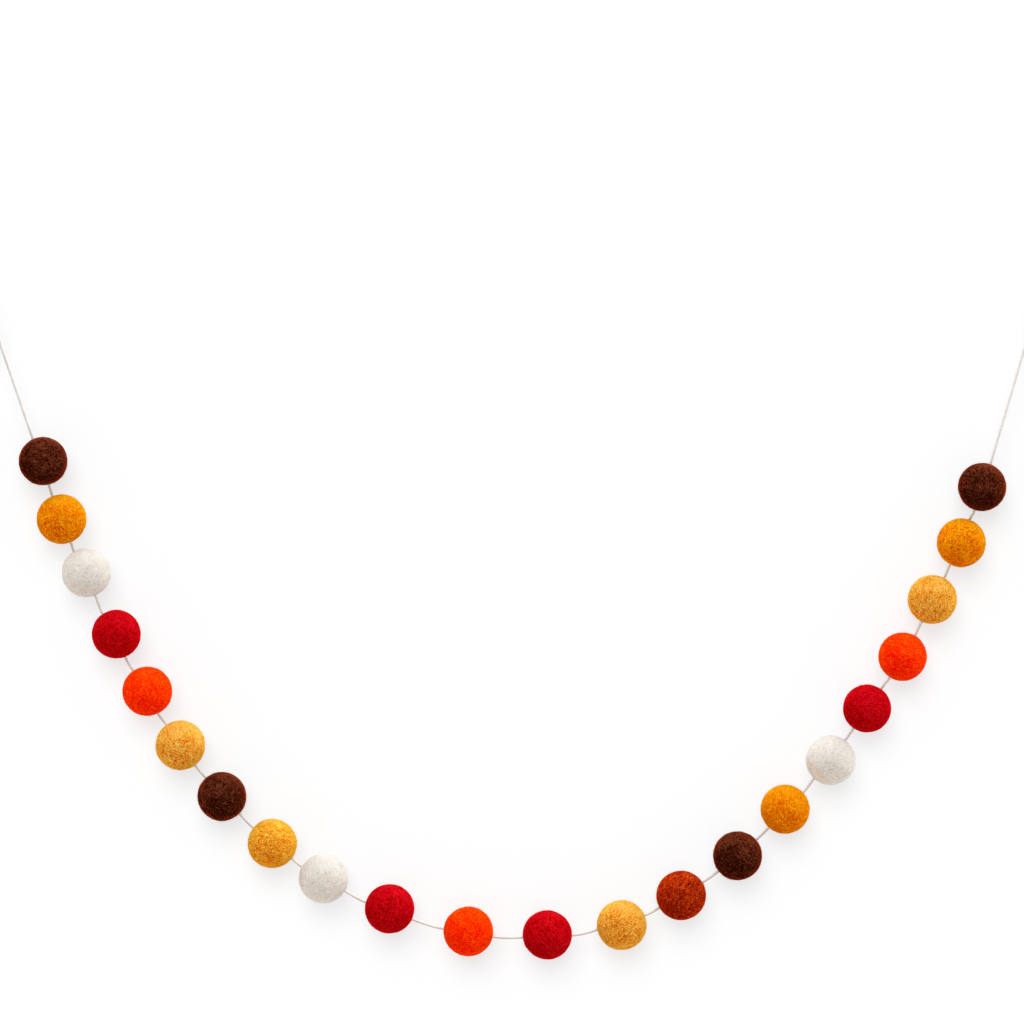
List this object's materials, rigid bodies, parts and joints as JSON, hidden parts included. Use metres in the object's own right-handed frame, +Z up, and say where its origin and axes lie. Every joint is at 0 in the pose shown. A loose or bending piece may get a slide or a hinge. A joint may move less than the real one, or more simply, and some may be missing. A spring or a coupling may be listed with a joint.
{
  "type": "felt ball garland",
  "caption": "Garland of wool felt balls in autumn colours, threaded on a thin pale cord and hanging in a deep swag from a tied loop at each end.",
  "frame": {"origin": "inside top of the left end's loop, where it hangs on a nail or hook", "axes": "+X from the left loop to the right loop, +Z up, and the front faces -Y"},
  "size_m": [0.5522, 0.0254, 0.3442],
  "materials": {
    "felt_brown": "matted wool felt, dark chocolate brown with lighter red-brown fibres, matte",
    "felt_mustard": "matted wool felt, mustard yellow, matte",
    "felt_cream": "matted wool felt, undyed cream white, matte",
    "felt_red": "matted wool felt, crimson red, matte",
    "felt_orange": "matted wool felt, bright orange, matte",
    "felt_tan": "matted wool felt, light ochre tan with pale fibres, matte",
    "felt_gold": "matted wool felt, golden yellow, matte",
    "felt_rust": "matted wool felt, rust red-brown with lighter fibres, matte",
    "cord": "smooth off-white twisted cord, matte"
  },
  "bodies": {
    "root": {"ball_01": "felt_brown", "ball_02": "felt_mustard", "ball_03": "felt_cream", "ball_04": "felt_red", "ball_05": "felt_orange", "ball_06": "felt_tan", "ball_07": "felt_brown", "ball_08": "felt_gold", "ball_09": "felt_cream", "ball_10": "felt_red", "ball_11": "felt_orange", "ball_12": "felt_red", "ball_13": "felt_tan", "ball_14": "felt_rust", "ball_15": "felt_brown", "ball_16": "felt_mustard", "ball_17": "felt_cream", "ball_18": "felt_red", "ball_19": "felt_orange", "ball_20": "felt_tan", "ball_21": "felt_mustard", "ball_22": "felt_brown", "cord": "cord", "loop_left": "cord", "loop_right": "cord", "knot_left": "cord", "knot_right": "cord", "tag_left": "cord", "tag_right": "cord"}
  },
  "joints": []
}
